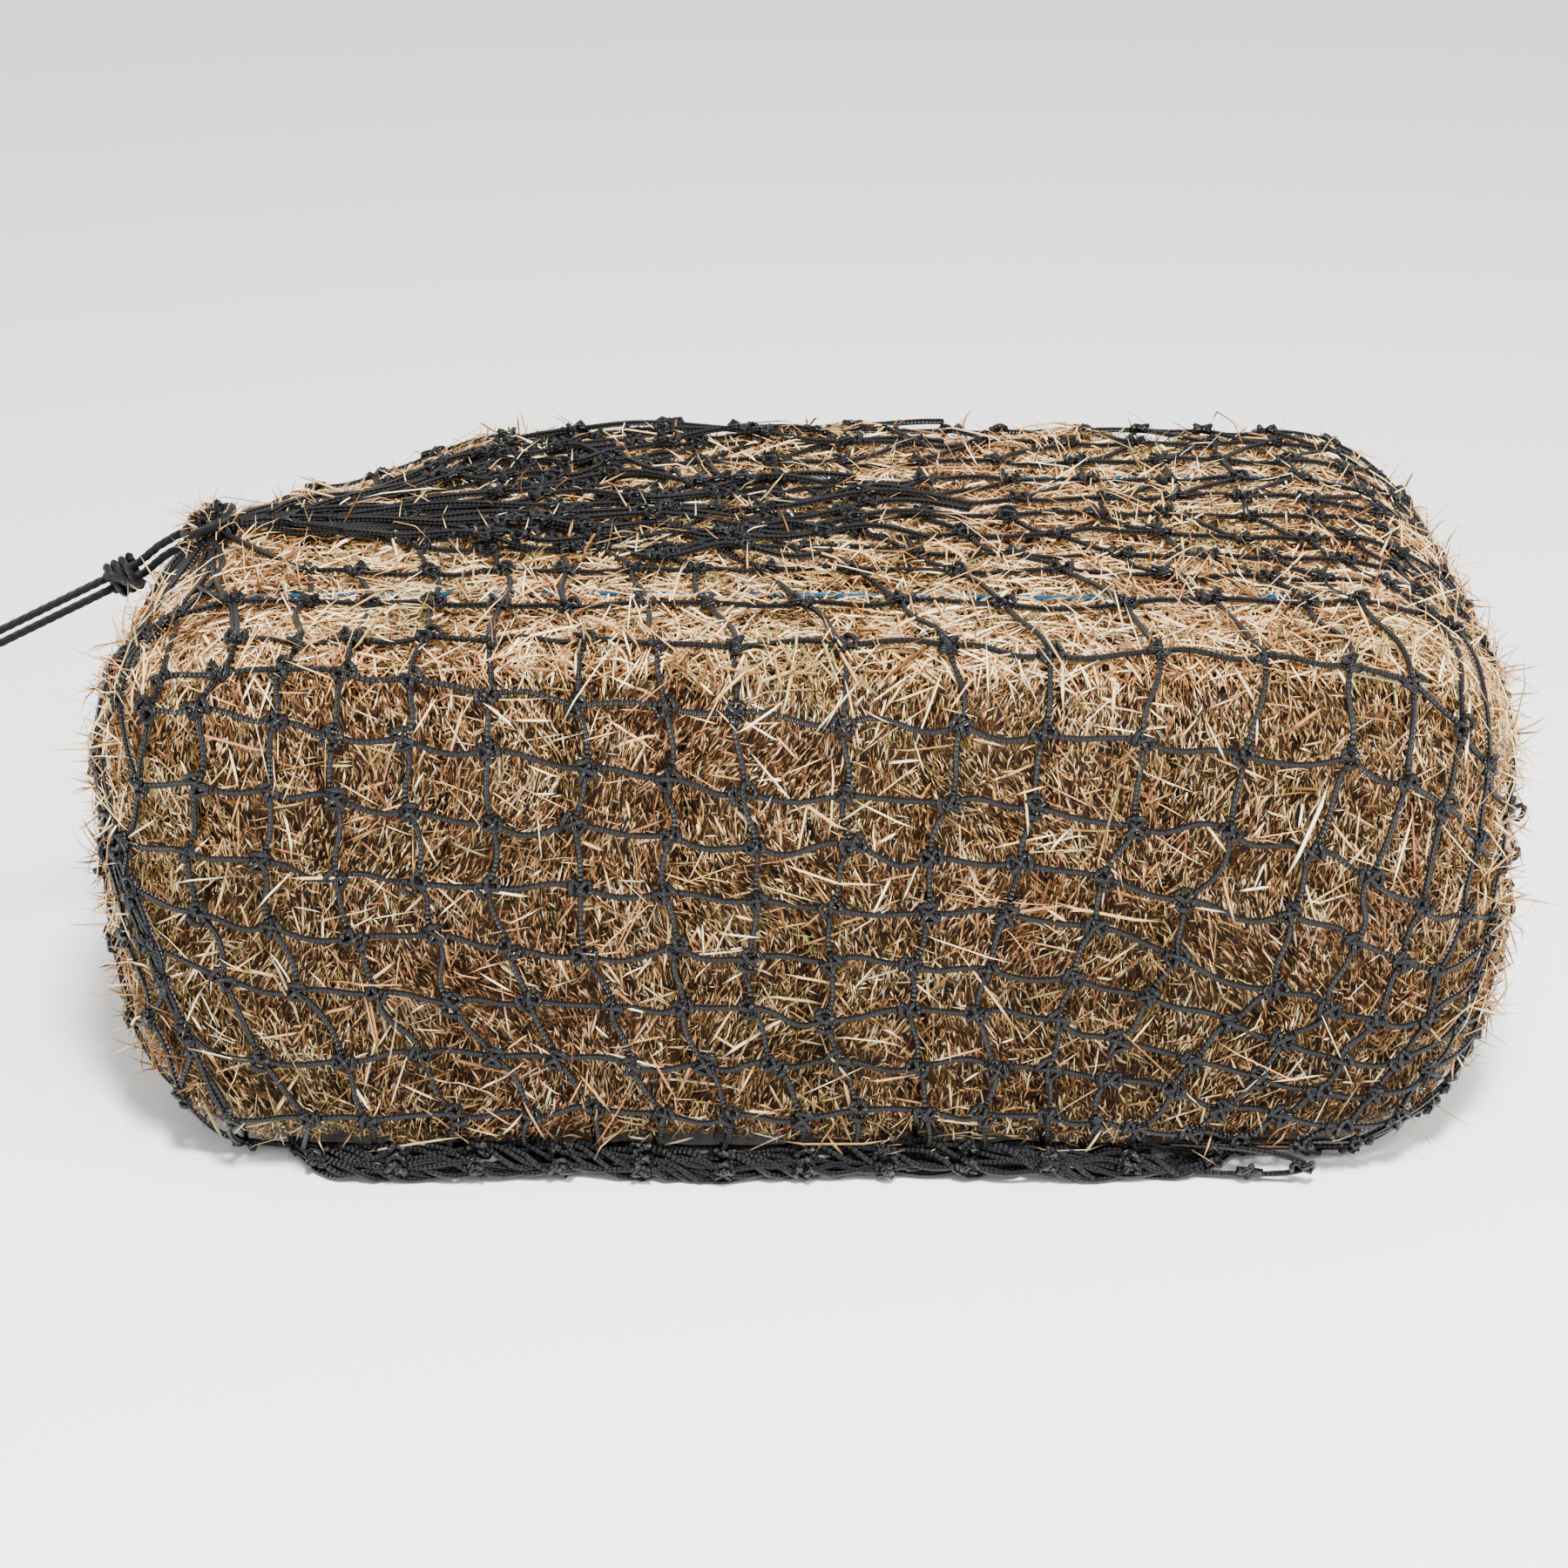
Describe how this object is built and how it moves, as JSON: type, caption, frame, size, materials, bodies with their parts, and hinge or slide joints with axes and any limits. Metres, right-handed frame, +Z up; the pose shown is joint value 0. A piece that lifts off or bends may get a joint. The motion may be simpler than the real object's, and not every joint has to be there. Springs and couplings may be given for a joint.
{
  "type": "hay net",
  "caption": "Black knotted hay net drawn closed round a small square bale, with a twisted drawcord and a sliding draw knot at one end.",
  "frame": {"origin": "middle of the filled net's footprint, at the floor it lies on", "axes": "+X along the bale away from the mouth, +Z up, -Y towards the side seen from the front"},
  "size_m": [1.1017, 0.4772, 0.3908],
  "materials": {
    "hay": "dry pressed hay: golden, cream, reddish and green stalks",
    "net_twine": "black braided nylon twine with a soft sheen",
    "drawcord": "black twisted nylon cord with a soft sheen",
    "bale_string": "blue polypropylene baler twine, slightly glossy"
  },
  "bodies": {
    "net_and_bale": {"flake_01": "hay", "flake_02": "hay", "flake_03": "hay", "flake_04": "hay", "flake_05": "hay", "flake_06": "hay", "flake_07": "hay", "flake_08": "hay", "flake_09": "hay", "flake_10": "hay", "flake_11": "hay", "flake_12": "hay", "baling_string_front": "bale_string", "baling_string_rear": "bale_string", "string_knot_front": "bale_string", "string_knot_rear": "bale_string", "net_front": "net_twine", "net_back": "net_twine", "net_top": "net_twine", "net_bottom": "net_twine", "net_mouth_end": "net_twine", "net_base_end": "net_twine", "slack_roll": "net_twine", "base_tie": "net_twine", "rim_leg_01": "net_twine", "rim_leg_02": "net_twine", "rim_leg_03": "net_twine", "rim_leg_04": "net_twine", "rim_leg_05": "net_twine", "rim_leg_06": "net_twine", "rim_leg_07": "net_twine", "rim_leg_08": "net_twine", "rim_leg_09": "net_twine", "rim_leg_10": "net_twine", "rim_leg_11": "net_twine", "rim_leg_12": "net_twine", "neck": "net_twine", "drawcord_noose": "drawcord", "drawcord_upper": "drawcord", "drawcord_lower": "drawcord", "end_knot": "drawcord"},
    "draw_knot": {"draw_knot": "drawcord"}
  },
  "joints": [
    {"name": "draw_knot_slide", "type": "slide", "parent": "net_and_bale", "child": "draw_knot", "axis": [-0.891, -0.259, -0.373], "range_m": [0, 0.14]}
  ]
}
